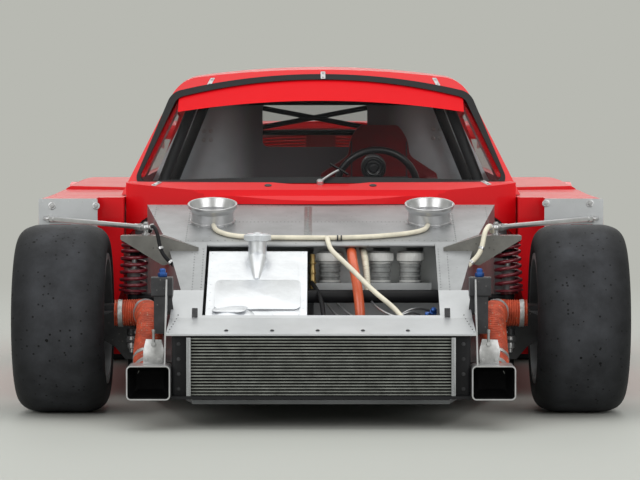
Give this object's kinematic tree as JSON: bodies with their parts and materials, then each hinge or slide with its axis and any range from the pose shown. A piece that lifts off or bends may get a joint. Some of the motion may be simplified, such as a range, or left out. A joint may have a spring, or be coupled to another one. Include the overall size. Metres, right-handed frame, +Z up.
{
  "type": "race car",
  "caption": "Low silhouette race car with its nose off: open front bay, slick tyres, curved windscreen, fastback cabin, doors, engine lid and rear wing.",
  "frame": {"origin": "On the floor, under the middle of the car's overall box.", "axes": "+Z up, the car faces -Y, +X to its left side, where the driver sits."},
  "size_m": [1.988, 4.08, 1.1501],
  "materials": {
    "tyre_rubber": "matt black race tyre",
    "rim_metal": "machined alloy",
    "red_paint": "bright red gloss paint",
    "bare_sheet": "dull riveted aluminium sheet",
    "bright_sheet": "bright aluminium",
    "grey_sheet": "grey anodised aluminium",
    "black_parts": "satin black paint",
    "dark_steel": "dark steel",
    "spring_red": "dark red coated spring",
    "clear_glass": "clear glass",
    "black_rubber": "black rubber",
    "hose_orange": "orange silicone hose",
    "hose_cream": "cream hose",
    "white_plastic": "white plastic",
    "seat_fabric": "red seat cloth",
    "lamp_red": "red lens",
    "core_black": "black painted cooler core"
  },
  "bodies": {
    "chassis": {"bay_wall": "bare_sheet", "brake_hose_left": "hose_orange", "brake_hose_right": "hose_orange", "brake_intakes": "bright_sheet", "cabin_shell": "red_paint", "coolant_hose": "hose_orange", "cowl": "red_paint", "cross_tube": "black_parts", "dashboard": "black_parts", "drive_shafts": "dark_steel", "engine": "grey_sheet", "exhausts": "grey_sheet", "fender_plates": "bare_sheet", "fender_struts": "grey_sheet", "floor_pan": "bare_sheet", "front_coilovers": "spring_red", "front_deck": "bare_sheet", "front_fender_backs": "red_paint", "front_shelf": "bare_sheet", "front_wishbones": "black_parts", "fuel_fillers": "bright_sheet", "jack_posts": "grey_sheet", "nose_tub": "bare_sheet", "rack_housing": "dark_steel", "radiator_core": "core_black", "radiator_frame": "black_parts", "rear_bulkhead": "bare_sheet", "rear_coilovers": "spring_red", "rear_glass": "clear_glass", "rear_hub_carriers": "black_parts", "reservoirs": "white_plastic", "roll_cage": "black_parts", "seat": "seat_fabric", "spring_towers": "bare_sheet", "tail_body": "red_paint", "tail_lamps": "lamp_red", "tank_cover": "bright_sheet", "vent_hoses": "hose_cream", "windscreen": "clear_glass", "windscreen_seal": "black_rubber"},
    "upright_left": {"knuckle_left": "dark_steel"},
    "upright_right": {"knuckle_right": "dark_steel"},
    "rack": {"rack_and_tie_rods": "dark_steel"},
    "steering": {"steering_wheel": "black_parts"},
    "wheel_fl": {"tyre_front_left": "tyre_rubber", "wheel_front_left": "rim_metal"},
    "wheel_fr": {"tyre_front_right": "tyre_rubber", "wheel_front_right": "rim_metal"},
    "wheel_rl": {"tyre_rear_left": "tyre_rubber", "wheel_rear_left": "rim_metal"},
    "wheel_rr": {"tyre_rear_right": "tyre_rubber", "wheel_rear_right": "rim_metal"},
    "left_door": {"door_left": "red_paint", "door_glass_left": "clear_glass"},
    "right_door": {"door_right": "red_paint", "door_glass_right": "clear_glass"},
    "rear_lid": {"engine_lid": "red_paint", "rear_wing": "red_paint"}
  },
  "joints": [
    {"name": "steer_left", "type": "hinge", "parent": "chassis", "child": "upright_left", "pos_m": [0.608, -1.38, 0.3045], "axis": [0, 0, 1], "range_deg": [-18, 18], "deforming": ["brake_hose_left"]},
    {"name": "steer_right", "type": "hinge", "parent": "chassis", "child": "upright_right", "pos_m": [-0.608, -1.38, 0.3045], "axis": [0, 0, 1], "range_deg": [-18, 18], "deforming": ["brake_hose_right"]},
    {"name": "rack_slide", "type": "slide", "parent": "chassis", "child": "rack", "axis": [1, 0, 0], "range_m": [-0.037, 0.037]},
    {"name": "steering_turn", "type": "hinge", "parent": "chassis", "child": "steering", "pos_m": [0.2045, -0.13, 0.7], "axis": [0, 0.9659, 0.2588], "range_deg": [-216, 216]},
    {"name": "spin_front_left", "type": "hinge", "parent": "upright_left", "child": "wheel_fl", "pos_m": [0.836, -1.38, 0.3045], "axis": [1, 0, 0], "continuous": true},
    {"name": "spin_front_right", "type": "hinge", "parent": "upright_right", "child": "wheel_fr", "pos_m": [-0.836, -1.38, 0.3045], "axis": [1, 0, 0], "continuous": true},
    {"name": "spin_rear_left", "type": "hinge", "parent": "chassis", "child": "wheel_rl", "pos_m": [0.8, 0.92, 0.335], "axis": [1, 0, 0], "continuous": true},
    {"name": "spin_rear_right", "type": "hinge", "parent": "chassis", "child": "wheel_rr", "pos_m": [-0.8, 0.92, 0.335], "axis": [1, 0, 0], "continuous": true},
    {"name": "door_left_swing", "type": "hinge", "parent": "chassis", "child": "left_door", "pos_m": [0.95, -0.584, 0.44], "axis": [0, 0, 1], "range_deg": [-60, 0]},
    {"name": "door_right_swing", "type": "hinge", "parent": "chassis", "child": "right_door", "pos_m": [-0.95, -0.584, 0.44], "axis": [0, 0, 1], "range_deg": [0, 60]},
    {"name": "lid_lift", "type": "hinge", "parent": "chassis", "child": "rear_lid", "pos_m": [0, 1.285, 0.932], "axis": [1, 0, 0], "range_deg": [0, 45]}
  ],
  "couplings": [
    {"joint": "steer_right", "follows": "steer_left", "ratio": 1},
    {"joint": "rack_slide", "follows": "steer_left", "m_per_rad": 0.115},
    {"joint": "steering_turn", "follows": "steer_left", "ratio": 12}
  ]
}
